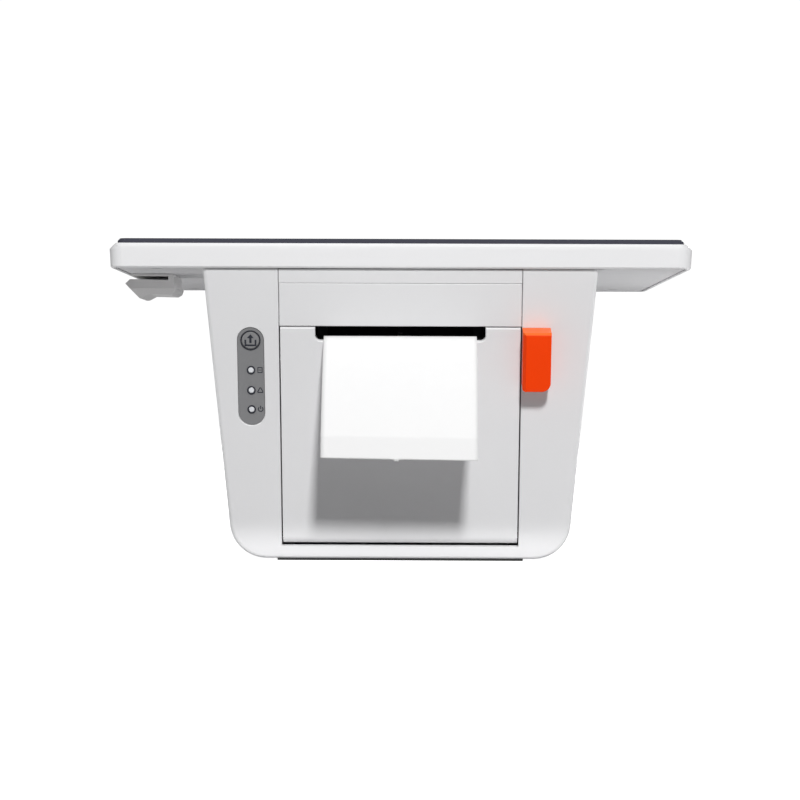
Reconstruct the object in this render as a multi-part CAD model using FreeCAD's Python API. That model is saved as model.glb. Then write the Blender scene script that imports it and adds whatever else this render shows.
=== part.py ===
import FreeCAD, Part
import math
import os

# Touch terminal with a built-in receipt printer. Millimetres, +Z up.
# The printer's face is on the -Y side; the screen slab lies flat on top.
# x = 0 is the plane of symmetry, z = 0 the table, and the middle of the whole
# object's box is above the origin.

# ---------------------------------------------------------------- dimensions
SLAB_W = 302.0          # screen slab, along X
SLAB_D = 240.0          # screen slab, along Y
SLAB_Z0 = 154.3         # underside of the bezel
SLAB_Z1 = 167.1         # top of the bezel
GLASS_T = 2.6           # touch glass, standing on the bezel
GLASS_IN = 3.0          # glass inset from the bezel's edge
SLAB_R = 7.0            # slab corner radius in plan
VIEW_W, VIEW_D = 246.0, 184.5   # active area of the display

LEAN = 16.5             # printer face, degrees from the vertical
FACE_TOP_D = 3.0        # face depth behind the slab's front edge at SLAB_Z0
FACE_Z = 8.2            # height of the face's local origin (foot of the door)

BASE_TOP = 154.1        # top of the base housing
BASE_BOT = 1.2          # underside of the base housing (the feet reach 0)
BASE_REAR = 188.0       # rear of the base, behind the slab's front edge
HW_LOW, HW_LOW_Z = 91.3, 20.5    # half width low down
HW_HIGH, HW_HIGH_Z = 102.4, 153.0
BASE_R = 19.5           # bottom corner radius seen from the front
WALL = 2.6              # moulded wall

OPEN_HW = 63.4          # half width of the printer opening
DOOR_HW = 62.7
DOOR_V0, DOOR_V1 = 0.5, 120.8    # door, along the face
NOTCH_HW, NOTCH_V = 44.4, 113.6  # paper exit notch in the door's top edge
PANEL_V0, PANEL_V1 = 121.4, 144.4
STRIP_V0 = 144.65
HINGE_W, HINGE_V = 4.4, 4.9      # door hinge axis (inward, up the face)

PAPER_HW = 39.75        # 79.5 mm paper
PAPER_T = 0.15          # web
STRIP_T = 0.2           # loose receipt
PLATEN_W, PLATEN_V = 10.6, 97.4  # platen axis
PLATEN_R = 6.5
WEB_R = 6.725           # paper centre line round the platen
ROLL_W, ROLL_V, ROLL_R = 43.1, 36.2, 31.0
BUCKET_W, BUCKET_V, BUCKET_R = 46.0, 46.0, 41.5
MOD = 0.6               # gear module
Z_PLATEN, Z_IDLER, Z_PINION = 24, 32, 18
ANG_PI, ANG_IM = -20.0, -50.0    # platen to idler, idler to pinion
GEAR_X0, GEAR_X1 = -59.5, -54.5
SIDE_X0, SIDE_X1 = 64.5, 66.5    # printer side plates

LEVER_X0, LEVER_X1 = 63.5, 78.2
LEVER_V0, LEVER_V1 = 89.7, 121.1
LEVER_OUT = 12.0
LEVER_PW, LEVER_PV = 7.2, 87.9   # lever pivot

PAD_X, PAD_W = -78.3, 14.0       # control pad
PAD_V0, PAD_V1 = 67.2, 120.6
BTN_V = 113.6
LENS_V = (97.4, 86.4, 75.9)

TILT_D, TILT_Z = 192.6, 147.5    # screen hinge axis
READER_D0, READER_D1 = 66.0, 108.0

# the loose receipt's centre line outside the slot: (towards the viewer, height)
RECEIPT = [(-5.9, 117.55), (-0.6, 119.6), (4.0, 118.9), (8.8, 114.9), (18.6, 102.2),
           (28.0, 86.5), (34.5, 72.6), (38.4, 56.4)]
RECEIPT_D = 13.0

# front of everything is the receipt's loose end; centre the box on the origin
YF = -(SLAB_D - (38.4 + STRIP_T / 2 - RECEIPT_D)) / 2

V = FreeCAD.Vector
SN, CS = math.sin(math.radians(LEAN)), math.cos(math.radians(LEAN))
FACE_D = FACE_TOP_D + (SLAB_Z0 - FACE_Z) * math.tan(math.radians(LEAN))
os.makedirs("parts", exist_ok=True)
ALL = {}


# ---------------------------------------------------------------- helpers
def D(d):
    return YF + d


def box(x0, x1, y0, y1, z0, z1):
    return Part.makeBox(x1 - x0, y1 - y0, z1 - z0, V(x0, y0, z0))


def cylx(r, x0, x1, y, z):
    return Part.makeCylinder(r, x1 - x0, V(x0, y, z), V(1, 0, 0))


def cyly(r, y0, y1, x, z):
    return Part.makeCylinder(r, y1 - y0, V(x, y0, z), V(0, 1, 0))


def cylz(r, z0, z1, x, y):
    return Part.makeCylinder(r, z1 - z0, V(x, y, z0), V(0, 0, 1))


def polyx(pts, x0, x1):
    w = Part.makePolygon([V(x0, a, b) for a, b in pts] + [V(x0, *pts[0])])
    return Part.Face(w).extrude(V(x1 - x0, 0, 0))


def polyy(pts, y0, y1):
    w = Part.makePolygon([V(a, y0, b) for a, b in pts] + [V(pts[0][0], y0, pts[0][1])])
    return Part.Face(w).extrude(V(0, y1 - y0, 0))


def fuse(*s):
    r = s[0].multiFuse(list(s[1:])) if len(s) > 1 else s[0]
    return r.removeSplitter()


def cut(a, *b):
    for s in b:
        a = a.cut(s)
    return a.removeSplitter()


def group(*s):
    return Part.makeCompound(list(s))


def local(s):
    """Printer frame (x, inward, up the face) to the object's frame."""
    s = s.copy()
    s.rotate(V(0, 0, 0), V(1, 0, 0), LEAN)
    s.translate(V(0, D(FACE_D), FACE_Z))
    return s


def hn(t, n):
    """Head frame (along the paper's way out, away from the platen) to (w, v)."""
    k = math.sqrt(0.5)
    return (PLATEN_W + k * (n - t), PLATEN_V + k * (n + t))


def polyh(pts, x0, x1):
    return polyx([hn(t, n) for t, n in pts], x0, x1)


def rect_wire(hx, y0, y1, r, z):
    r = max(r, 0.2)
    e, k = [], r * (1 - math.sqrt(0.5))
    c = [(hx, y0, -1), (hx, y1, 1)]
    p = [V(-hx + r, y0, z), V(hx - r, y0, z), V(hx, y0 + r, z), V(hx, y1 - r, z),
         V(hx - r, y1, z), V(-hx + r, y1, z), V(-hx, y1 - r, z), V(-hx, y0 + r, z)]
    m = [V(hx - k, y0 + k, z), V(hx - k, y1 - k, z), V(-hx + k, y1 - k, z), V(-hx + k, y0 + k, z)]
    for i in range(4):
        e.append(Part.LineSegment(p[2 * i], p[2 * i + 1]).toShape())
        e.append(Part.Arc(p[2 * i + 1], m[i], p[(2 * i + 2) % 8]).toShape())
    return Part.Wire(e)


def rslab(hx, y0, y1, r, z0, z1):
    return Part.Face(rect_wire(hx, y0, y1, r, z0)).extrude(V(0, 0, z1 - z0))


def pill(x, v0, v1, wid, w0, w1):
    r = wid / 2
    s = fuse(box(x - r, x + r, w0, w1, v0 + r, v1 - r), cyly(r, w0, w1, x, v0 + r),
             cyly(r, w0, w1, x, v1 - r))
    return s


def ringy(ro, ri, y0, y1, x, z):
    return cut(cyly(ro, y0, y1, x, z), cyly(ri, y0 - 1, y1 + 1, x, z))


def tubex(ro, ri, x0, x1, y, z):
    return cut(cylx(ro, x0, x1, y, z), cylx(ri, x0 - 1, x1 + 1, y, z))


def coil(r, wire, pitch, turns, start, direction):
    """Coil spring of square wire with the section of a round one of that radius."""
    h = Part.makeHelix(pitch, pitch * turns, r)
    a = wire * 0.886
    c = Part.makePolygon([V(r - a, 0, -a), V(r + a, 0, -a), V(r + a, 0, a), V(r - a, 0, a), V(r - a, 0, -a)])
    s = Part.Wire(h).makePipeShell([c], True, True)
    rot = FreeCAD.Rotation(V(0, 0, 1), V(*direction))
    s.Placement = FreeCAD.Placement(V(*start), rot)
    return s


def gear(z, bore, phase, cw, cv, x0, x1):
    """Involute spur gear on an X axis; a tooth is centred at the angle phase."""
    rp = MOD * z / 2
    rb, ra, rr = rp * math.cos(math.radians(20)), rp + MOD * 0.92, rp - MOD * 1.25
    inv = lambda a: math.tan(a) - a
    half = math.pi / (2 * z) - 0.05 / rp
    pts = []
    for i in range(z):
        c = phase + 2 * math.pi * i / z
        side = []
        r0 = max(rb, rr + 0.02)
        for k in range(6):
            r = r0 + (ra - r0) * k / 5
            a = math.acos(min(1.0, rb / r))
            side.append((r, half + inv(math.radians(20)) - inv(a)))
        root = [(rr, side[0][1])]
        for r, a in root + side:
            pts.append((cw + r * math.cos(c - a), cv + r * math.sin(c - a)))
        for r, a in reversed(root + side):
            pts.append((cw + r * math.cos(c + a), cv + r * math.sin(c + a)))
    return cut(polyx(pts, x0, x1), cylx(bore, x0 - 1, x1 + 1, cw, cv))


def screw_head(r, h, slot=True):
    s = Part.makeCylinder(r, h)
    s = s.makeFillet(min(0.5, h * 0.4), [s.Edges[0]]) if h > 0.8 else s
    if slot:
        a = box(-r * 0.62, r * 0.62, -0.32, 0.32, h - 0.5, h + 1)
        b = box(-0.32, 0.32, -r * 0.62, r * 0.62, h - 0.5, h + 1)
        s = cut(s, a, b)
    return s


def save(name, shape):
    ALL[name] = shape
    for i, s in enumerate(shape.Solids):
        if not s.isValid():
            print("INVALID", name, i)
    if not shape.Solids:
        print("NO SOLID", name)
    shape.exportStep("parts/%s.step" % name)


def fillet_where(s, r, test):
    e = [k for k in s.Edges if test(k)]
    try:
        f = s.makeFillet(r, e)
        if f.isValid() and f.Volume > 0:
            return f
    except Exception as err:
        print("fillet left out:", err)
    return s


def chamfer_where(s, r, test):
    e = [k for k in s.Edges if test(k)]
    try:
        f = s.makeChamfer(r, e)
        if f.isValid() and f.Volume > 0:
            return f
    except Exception as err:
        print("chamfer left out:", err)
    return s


# ---------------------------------------------------------------- screen slab
hx = SLAB_W / 2
# height, inset at the sides, inset front and rear: the sides have the wider top bevel
rings = [(SLAB_Z0, 1.3, 1.3), (SLAB_Z0 + 0.8, 0.55, 0.55), (SLAB_Z1 - 3.0, 0.0, 0.0), (SLAB_Z1 - 1.6, 1.5, 0.0),
         (SLAB_Z1, 3.3, 1.3)]
outer = Part.makeLoft([rect_wire(hx - i, D(j), D(SLAB_D - j), SLAB_R - i, z) for z, i, j in rings], True, True)
cav = rslab(hx - 2.8, D(2.8), D(SLAB_D - 2.8), 4.5, SLAB_Z0 - 1, SLAB_Z1 - 1.8)
win = rslab(VIEW_W / 2 + 2, D((SLAB_D - VIEW_D) / 2 - 2), D((SLAB_D + VIEW_D) / 2 + 2), 1.0,
            SLAB_Z1 - 3, SLAB_Z1 + 1)
save("screen_bezel", cut(outer, cav, win))

glass = rslab(hx - GLASS_IN - 1.0, D(GLASS_IN), D(SLAB_D - GLASS_IN), 5.0, SLAB_Z1, SLAB_Z1 + GLASS_T)
glass = chamfer_where(glass, 1.2, lambda e: min(v.Z for v in e.Vertexes) > SLAB_Z1 + GLASS_T - 0.01)
save("touch_glass", glass)

lcd = box(-130, 130, D(22), D(SLAB_D - 22), 158.4, SLAB_Z1 - 1.8)
lcd = fuse(lcd, box(-VIEW_W / 2 - 1, VIEW_W / 2 + 1, D((SLAB_D - VIEW_D) / 2 - 1),
                    D((SLAB_D + VIEW_D) / 2 + 1), 163, SLAB_Z1))
save("lcd_module", lcd)

SCREEN_SCREWS = [(-128, 16), (0, 16), (104, 16), (-128, 224), (0, 224), (128, 224)]
cover = rslab(hx - 3.2, D(3.2), D(SLAB_D - 3.2), 4.2, SLAB_Z0 + 0.5, SLAB_Z0 + 2.7)
cover = fillet_where(cover, 0.4, lambda e: max(v.Z for v in e.Vertexes) < SLAB_Z0 + 0.51)
bosses = [cylz(4.2, SLAB_Z0 + 2.7, SLAB_Z1 - 1.8, x, D(d)) for x, d in SCREEN_SCREWS]
cover = fuse(cover, *bosses)
for x, d in SCREEN_SCREWS:
    cover = cover.cut(cylz(3.2, SLAB_Z0, SLAB_Z0 + 2.0, x, D(d)))
    cover = cover.cut(cylz(1.3, SLAB_Z0, SLAB_Z0 + 9, x, D(d)))
vents = [rslab(1.0, 0, 26, 0.99, SLAB_Z0 - 1, SLAB_Z0 + 4) for i in range(9)]
for i, v in enumerate(vents):
    v.translate(V(-20 + 5 * i, D(196.5), 0))
save("screen_back_cover", cut(cover, *vents))

scr = []
for x, d in SCREEN_SCREWS:
    h = screw_head(2.8, 1.3)
    h.rotate(V(0, 0, 0), V(1, 0, 0), 180)
    h.translate(V(x, D(d), SLAB_Z0 + 2.0))
    scr.append(fuse(h, cylz(1.25, SLAB_Z0 + 1.9, SLAB_Z0 + 8, x, D(d))))
save("screen_screws", group(*scr))

# ---------------------------------------------------------------- card reader
# a bevelled bar under the slab's left edge with a level swipe slot that is open
# to the left and at both ends
jaw = [(-150.8, 149.4), (-143.5, 141.6), (-142.0, 141.7), (-138.1, 143.9), (-126.0, 143.6),
       (-124.0, 144.9), (-123.3, 147.2), (-124.6, 153.4), (-124.6, 154.6), (-147.2, 154.6),
       (-147.2, 153.5), (-127.3, 153.5), (-127.3, 151.3), (-148.2, 151.9)]
body = polyy(jaw, D(READER_D0), D(READER_D1))
bev = 7.0
for y0, sgn in ((D(READER_D0), 1), (D(READER_D1), -1)):
    cutter = Part.Face(Part.makePolygon([V(-160, y0, 146.8), V(-160, y0, 138), V(-160, y0 + sgn * bev, 138),
                                         V(-160, y0, 146.8)])).extrude(V(60, 0, 0))
    body = body.cut(cutter)
head_pocket = box(-140.2, -131.8, D(80.8), D(93.2), 146.0, 152.4)
body = cut(body, head_pocket)
save("card_reader_body", body)
rh = box(-140, -132, D(81), D(93), 146.2, 151.2)
rh = fillet_where(rh, 1.2, lambda e: min(v.Z for v in e.Vertexes) > 151.1)
save("card_reader_head", rh)

# ---------------------------------------------------------------- base housing
SL = (HW_HIGH - HW_LOW) / (HW_HIGH_Z - HW_LOW_Z)


def outline(inset, z_top, y0, y1, z_bot=None):
    zb = (BASE_BOT + inset) if z_bot is None else z_bot
    r = max(BASE_R - inset, 1.0)
    k = math.sqrt(1 + SL * SL)
    a = HW_LOW - SL * HW_LOW_Z - inset * k
    cz = zb + r
    cx = a + SL * cz - r * k
    tx, tz = cx + r / k, cz - r * SL / k
    am = (math.atan2(tz - cz, tx - cx) - math.pi / 2) / 2
    mx, mz = cx + r * math.cos(am), cz + r * math.sin(am)
    P = lambda x, z: V(x, y0, z)
    e = [Part.LineSegment(P(-cx, zb), P(cx, zb)).toShape(),
         Part.Arc(P(cx, zb), P(mx, mz), P(tx, tz)).toShape(),
         Part.LineSegment(P(tx, tz), P(a + SL * z_top, z_top)).toShape(),
         Part.LineSegment(P(a + SL * z_top, z_top), P(-a - SL * z_top, z_top)).toShape(),
         Part.LineSegment(P(-a - SL * z_top, z_top), P(-tx, tz)).toShape(),
         Part.Arc(P(-tx, tz), P(-mx, mz), P(-cx, zb)).toShape()]
    return Part.Face(Part.Wire(e)).extrude(V(0, y1 - y0, 0))


def behind_face(s, w):
    """Keep what lies further in than w from the printer's face plane."""
    return s.cut(local(box(-300, 300, -400, w, -300, 400)))


shell = behind_face(outline(0, BASE_TOP, D(-20), D(BASE_REAR)), 0)
face_n = V(0, -CS, -SN)


def on_face(e):
    p = e.Vertexes
    f = lambda q: (q.Point.y - D(FACE_D)) * CS + (q.Point.z - FACE_Z) * SN
    return all(abs(f(q)) < 1e-4 for q in p) and not all(abs(q.Point.z - BASE_TOP) < 1e-4 for q in p)


shell = fillet_where(shell, 2.2, on_face)
shell = fillet_where(shell, 1.2, lambda e: all(abs(q.Y - D(BASE_REAR)) < 1e-6 and q.Z < BASE_TOP - 0.01 or
                                               abs(q.Y - D(BASE_REAR)) < 1e-6 and len(e.Vertexes) > 1 and
                                               e.BoundBox.ZLength > 1 for q in e.Vertexes))
inner = behind_face(outline(WALL, BASE_TOP + 5, D(-20), D(BASE_REAR + 5)), WALL)
shell = cut(shell, inner)
shell = shell.cut(local(box(-OPEN_HW, OPEN_HW, -3, 14, -0.5, 200)))
shell = shell.cut(local(box(67, 75.6, -3, 6, 89.7, 107.9)))
shell = shell.cut(local(pill(PAD_X, PAD_V0, PAD_V1, PAD_W, -2, 6))).removeSplitter()
shell = fillet_where(shell, 0.5, lambda e: on_face(e) and abs(e.BoundBox.Center.x - PAD_X) < PAD_W / 2 + 0.2)
shell = fillet_where(shell, 0.5, lambda e: on_face(e) and abs(abs(e.BoundBox.Center.x) - OPEN_HW) < 0.01)
# floor: a ledge round a window that the steel plate closes from below
shell = shell.cut(box(-66.2, 66.2, D(61.8), D(184.2), 0, 2.5))
shell = shell.cut(box(-62, 62, D(66), D(180), 0, 8))
# moulded rib behind the right cheek that carries the lever's pivot
rib = cut(box(80, 82, WALL - 0.6, 16, 81.4, 95.4), cylx(2.0, 70, 90, LEVER_PW, LEVER_PV))
shell = shell.fuse(local(rib))
save("base_housing", shell.removeSplitter())

plate = box(-66, 66, D(62), D(184), 1.2, 2.4)
PLATE_SCREWS = [(-64, 64.5), (64, 64.5), (-64, 181.5), (64, 181.5)]
for i in range(7):
    sl = rslab(1.5, -20, 20, 1.45, 0, 4)
    sl.translate(V(-24 + 8 * i, D(123), 0))
    plate = plate.cut(sl)
save("base_plate", plate)
FEET = [(-54, 76), (54, 76), (-54, 170), (54, 170)]
feet = []
for x, d in FEET:
    f = cylz(7.5, 0, 1.2, x, D(d))
    f = fillet_where(f, 0.5, lambda e: max(v.Z for v in e.Vertexes) < 0.01)
    feet.append(f)
# a long strip under the front edge
feet.append(fillet_where(box(-66, 66, D(49.2), D(54.0), 0, 1.2), 0.4, lambda e: max(v.Z for v in e.Vertexes) < 0.01))
save("rubber_feet", group(*feet))

# rear wall with its socket windows, and the lid under the screen
back = outline(WALL + 0.2, BASE_TOP - 2.9, D(BASE_REAR - 2.6), D(BASE_REAR))
SOCK = {"lan_socket": (-46, -30, 22, 36), "drawer_socket": (-22, -9, 22, 35),
        "power_inlet": (44, 55, 23, 34)}
USB = [(-1, 13, 22, 29), (-1, 13, 31, 38), (18, 32, 22, 29), (18, 32, 31, 38)]
SWITCH = (62, 75, 21, 40)
for x0, x1, z0, z1 in list(SOCK.values()) + USB + [SWITCH]:
    back = back.cut(box(x0 - 0.3, x1 + 0.3, D(BASE_REAR - 6), D(BASE_REAR + 4), z0 - 0.3, z1 + 0.3))
for i in range(13):
    g = box(-42 + 7 * i - 1.25, -42 + 7 * i + 1.25, D(BASE_REAR - 6), D(BASE_REAR + 4), 74, 100)
    back = back.cut(fillet_where(g, 1.2, lambda e: abs(e.Vertexes[0].Y - e.Vertexes[-1].Y) > 5))
save("base_back_cover", back.removeSplitter())

lid = outline(WALL + 0.2, BASE_TOP - 0.2, D(-20), D(BASE_REAR), 40).common(
    box(-120, 120, D(-20), D(BASE_REAR), BASE_TOP - 2.7, BASE_TOP - 0.2))
lid = behind_face(lid, WALL + 0.4).cut(local(box(-63.6, 63.6, -3, 12.4, 100, 200)))
lid = lid.cut(box(-30, 30, D(150), D(176), 140, 160))
save("base_top_cover", lid.removeSplitter())
bump = []
for x in (-84, 84):
    b = cylz(5, BASE_TOP - 0.2, SLAB_Z0 + 0.3, x, D(34))
    bump.append(fillet_where(b, 0.5, lambda e: min(v.Z for v in e.Vertexes) > SLAB_Z0 + 0.2))
save("screen_bumpers", group(*bump))

# screen hinge: two barrels behind the base's rear wall
ty, tz = D(TILT_D), TILT_Z
br, lf, pn = [], [], []
for sx in (-1, 1):
    a, b, c = sorted((sx * 44, sx * 56)), sorted((sx * 56.4, sx * 72)), sorted((sx * 43, sx * 73))
    k = fuse(cylx(4.2, a[0], a[1], ty, tz), box(a[0], a[1], D(188), D(190.6), 118, tz + 1),
             box(a[0], a[1], D(188), ty, tz - 4.2, tz))
    br.append(cut(k, cylx(2.5, a[0] - 1, a[1] + 1, ty, tz)))
    k = fuse(cylx(4.2, b[0], b[1], ty, tz), box(b[0], b[1], ty, ty + 4.2, tz, SLAB_Z0 - 1.0),
             box(b[0], b[1], ty - 1, ty + 22, SLAB_Z0 - 1.2, SLAB_Z0 + 0.5))
    lf.append(cut(k, cylx(2.55, b[0] - 1, b[1] + 1, ty, tz)))
    pn.append(cylx(2.5, c[0], c[1], ty, tz))
save("hinge_brackets", group(*br))
save("hinge_leaves", group(*lf))
save("hinge_pins", group(*pn))
hs = []
for sx in (-1, 1):
    for z in (124, 134):
        h = screw_head(2.6, 1.5)
        h.rotate(V(0, 0, 0), V(1, 0, 0), -90)
        h.translate(V(sx * 50, D(190.6), z))
        hs.append(h)

# ---------------------------------------------------------------- rear sockets, board
board = box(-78, 78, D(172), D(173.6), 16, 92)
save("main_board", board)


def socket(x0, x1, z0, z1, wall, depth=11):
    s = box(x0, x1, D(173.7), D(BASE_REAR + 0.4), z0, z1)
    return cut(s, box(x0 + wall, x1 - wall, D(BASE_REAR - depth), D(BASE_REAR + 2), z0 + wall, z1 - wall))


save("jack_sockets", group(socket(*SOCK["lan_socket"], 2.0), socket(*SOCK["drawer_socket"], 1.6)))
us = []
for u in USB:
    s = socket(*u, 0.8, 10)
    x0, x1, z0, z1 = u
    us.append(fuse(s, box(x0 + 1.4, x1 - 1.4, D(BASE_REAR - 10.2), D(BASE_REAR - 1.5), z0 + 1.2, z0 + 3.0)))
save("usb_sockets", group(*us))
x0, x1, z0, z1 = SOCK["power_inlet"]
cx, cz = (x0 + x1) / 2, (z0 + z1) / 2
inl = box(x0, x1, D(173.7), D(BASE_REAR + 0.4), z0, z1)
inl = cut(inl, cyly(4.2, D(BASE_REAR - 9), D(BASE_REAR + 2), cx, cz))
save("power_inlet", fuse(inl, cyly(1.0, D(BASE_REAR - 9.2), D(BASE_REAR - 1), cx, cz)))
x0, x1, z0, z1 = SWITCH
cx, cz = (x0 + x1) / 2, (z0 + z1) / 2
bez = box(x0, x1, D(176), D(BASE_REAR), z0, z1)
bez = fuse(bez, box(x0 - 1.2, x1 + 1.2, D(BASE_REAR), D(BASE_REAR + 1.4), z0 - 1.2, z1 + 1.2))
bez = cut(bez, box(x0 + 1.6, x1 - 1.6, D(179), D(BASE_REAR + 4), z0 + 1.6, z1 - 1.6))
pz = cz
bez = cut(bez, cylx(1.0, x0 - 2, x1 + 2, D(185), pz))
save("switch_bezel", bez)
# rocker: two faces at an angle, on a cross pin
rk = polyx([(D(182), pz - 4), (D(188.9), pz - 6.4), (D(188.6), pz), (D(190.2), pz + 6.4),
            (D(184), pz + 5.6), (D(182), pz + 4)], x0 + 2.0, x1 - 2.0)
rk = fuse(rk, cylx(0.95, x0 + 0.2, x1 - 0.2, D(185), pz))
save("power_switch", rk)

# ---------------------------------------------------------------- fixed front pieces
strip = polyx([(0, STRIP_V0), (0, 152.0), (12, 148.45), (12, STRIP_V0), (9.5, STRIP_V0), (9.5, 146.4),
               (2.4, 148.4), (2.4, STRIP_V0)], -63.1, 63.1)
save("top_strip", local(strip))
pan = fuse(box(-63.1, 63.1, 0, 2.6, PANEL_V0, PANEL_V1),
           box(-63.1, 63.1, 0, 9, PANEL_V1 - 2, PANEL_V1),
           box(-63.1, 63.1, 0, 6, PANEL_V0 + 1.2, PANEL_V0 + 3.2))
pan = chamfer_where(pan, 0.4, lambda e: all(abs(v.Y) < 1e-6 for v in e.Vertexes))
save("front_panel", local(pan))

# control pad
bz = pill(PAD_X, PAD_V0 + 0.2, PAD_V1 - 0.2, PAD_W - 0.4, 0.7, WALL + 0.4)
fl = pill(PAD_X, PAD_V0 - 2, PAD_V1 + 2, PAD_W + 4, WALL + 0.1, WALL + 1.5)
bz = fuse(bz, fl)
bz = bz.cut(cyly(4.75, -1, 8, PAD_X, BTN_V))
for v in LENS_V:
    bz = bz.cut(cyly(1.55, -1, 8, PAD_X, v))
posts = [cyly(2.0, WALL + 1.4, 11.0, PAD_X + dx, v) for dx, v in ((-6.0, 69), (6.0, 69), (-6.0, 91.6), (6.0, 91.6))]
save("control_bezel", local(fuse(bz, *posts)))
btn = fuse(cyly(4.55, 0.35, 4.6, PAD_X, BTN_V), cyly(5.6, 4.6, 5.4, PAD_X, BTN_V), cyly(1.6, 5.4, 7.6, PAD_X, BTN_V))
btn = fillet_where(btn, 0.35, lambda e: all(abs(v.Y - 0.35) < 1e-6 for v in e.Vertexes))
save("feed_button", local(btn))
save("status_lenses", local(group(*[fillet_where(cyly(1.5, 0.4, 8.0, PAD_X, v), 0.4,
     lambda e: all(abs(q.Y - 0.4) < 1e-6 for q in e.Vertexes)) for v in LENS_V])))
rg = [ringy(2.24, 1.62, 0.35, 0.7, PAD_X, v) for v in LENS_V] + [ringy(5.3, 4.8, 0.3, 0.7, PAD_X, BTN_V)]
save("lens_rings", local(group(*rg)))
pcb = box(PAD_X - 8, PAD_X + 8, 11.0, 12.4, 66, 122)
pcb = fuse(pcb, box(PAD_X - 3, PAD_X + 3, 8.6, 11.0, BTN_V - 3, BTN_V + 3))
for v in LENS_V:
    pcb = fuse(pcb, box(PAD_X - 1.5, PAD_X + 1.5, 8.3, 11.0, v - 1.5, v + 1.5))
save("control_board", local(pcb))
save("button_spring", local(coil(2.6, 0.25, 0.95, 2.6, (PAD_X, 5.7, BTN_V), (0, 1, 0))))

# ---------------------------------------------------------------- paper door
dc = box(-DOOR_HW, DOOR_HW, 0, 2.6, HINGE_V, DOOR_V1)
dc = fuse(dc, cylx(HINGE_W, -DOOR_HW, DOOR_HW, HINGE_W, HINGE_V),
          box(-DOOR_HW, DOOR_HW, 0, HINGE_W, HINGE_V, HINGE_V + 3))
notch = fuse(box(-NOTCH_HW, NOTCH_HW, -5, 8, NOTCH_V + 2.7, 130), box(-NOTCH_HW + 2.7, NOTCH_HW - 2.7, -5, 8, NOTCH_V, 130),
             cyly(2.7, -5, 8, -NOTCH_HW + 2.7, NOTCH_V + 2.7), cyly(2.7, -5, 8, NOTCH_HW - 2.7, NOTCH_V + 2.7))
dc = dc.cut(notch).removeSplitter()
dc = fillet_where(dc, 0.9, lambda e: all(abs(v.Y) < 1e-6 for v in e.Vertexes) and
                  e.BoundBox.ZMin > HINGE_V + 0.5)
fl = []
for sx in (-1, 1):
    a, b = sorted((sx * DOOR_HW, sx * (DOOR_HW - 2)))
    fl.append(box(a, b, 2.0, 9.5, 9, 118))
    fl[-1] = fl[-1].cut(box(a - 1, b + 1, 4.6, 8.6, 99.6, 108.4))
dc = fuse(dc, *fl)
dc = dc.cut(cylx(1.5, -80, 80, HINGE_W, HINGE_V))
save("door_cover", local(dc))
pins = [cylx(1.5, 52, 66.4, HINGE_W, HINGE_V), cylx(1.5, -66.4, -52, HINGE_W, HINGE_V)]
save("door_hinge_pins", local(group(*pins)))

di = box(-58, 58, 2.6, 4.4, 10, 88.6)
for v in (24, 42, 60, 78):
    di = di.fuse(box(-58, 58, 4.4, 6.2, v - 0.8, v + 0.8))
arm = [(4.0, 56), (4.0, 109.2), (7.2, 110.2), (10.5, 106), (15.2, 102), (16.0, 96), (14.5, 91), (8.5, 72)]
for sx in (-1, 1):
    a, b = sorted((sx * 46, sx * 48.6))
    di = di.fuse(polyx(arm, a, b))
di = di.fuse(polyh([(10.4, 1.6), (11.3, 1.6), (11.3, 5.7), (10.4, 5.7)], -47, 47))
for sx in (-1, 1):
    di = di.cut(cylx(4.5, -60 if sx < 0 else 40, -40 if sx < 0 else 60, PLATEN_W, PLATEN_V))
save("door_inner", local(di.removeSplitter()))
fb = polyh([(9.55, 0.8), (10.35, 0.8), (10.35, 6.25), (9.9, 6.25), (9.55, 6.0)], -45.9, 45.9)
save("fixed_blade", local(fb))

bush = []
for sx in (-1, 1):
    a, b = sorted((sx * 46, sx * 48.6))
    c, e = sorted((sx * 48.6, sx * 49.6))
    s = fuse(cylx(4.5, a, b, PLATEN_W, PLATEN_V), cylx(5.6, c, e, PLATEN_W, PLATEN_V))
    bush.append(cut(s, cylx(2.55, -80, 80, PLATEN_W, PLATEN_V)))
save("platen_bushes", local(group(*bush)))
save("platen_shaft", local(cylx(2.5, -60.2, 52, PLATEN_W, PLATEN_V)))
save("platen_roller", local(tubex(PLATEN_R, 2.5, -40.6, 40.6, PLATEN_W, PLATEN_V)))

rad = math.radians
rP, rI, rM = MOD * Z_PLATEN / 2, MOD * Z_IDLER / 2, MOD * Z_PINION / 2
IW, IV = PLATEN_W + (rP + rI) * math.cos(rad(ANG_PI)), PLATEN_V + (rP + rI) * math.sin(rad(ANG_PI))
MW, MV = IW + (rI + rM) * math.cos(rad(ANG_IM)), IV + (rI + rM) * math.sin(rad(ANG_IM))
ph_p = rad(ANG_PI)
ph_i = rad(ANG_PI) + math.pi + math.pi / Z_IDLER
step = 2 * math.pi / Z_IDLER
eps = (ph_i - rad(ANG_IM)) % step
ph_m = rad(ANG_IM) + math.pi - eps * rI / rM + math.pi / Z_PINION
save("platen_gear", local(gear(Z_PLATEN, 2.5, ph_p, PLATEN_W, PLATEN_V, GEAR_X0, GEAR_X1)))
save("idler_gear", local(gear(Z_IDLER, 2.05, ph_i, IW, IV, GEAR_X0, GEAR_X1)))
pin = fuse(gear(Z_PINION, 1.5, ph_m, MW, MV, GEAR_X0, GEAR_X1), cylx(1.5, -68, -54, MW, MV))
save("motor_pinion", local(pin))

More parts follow.
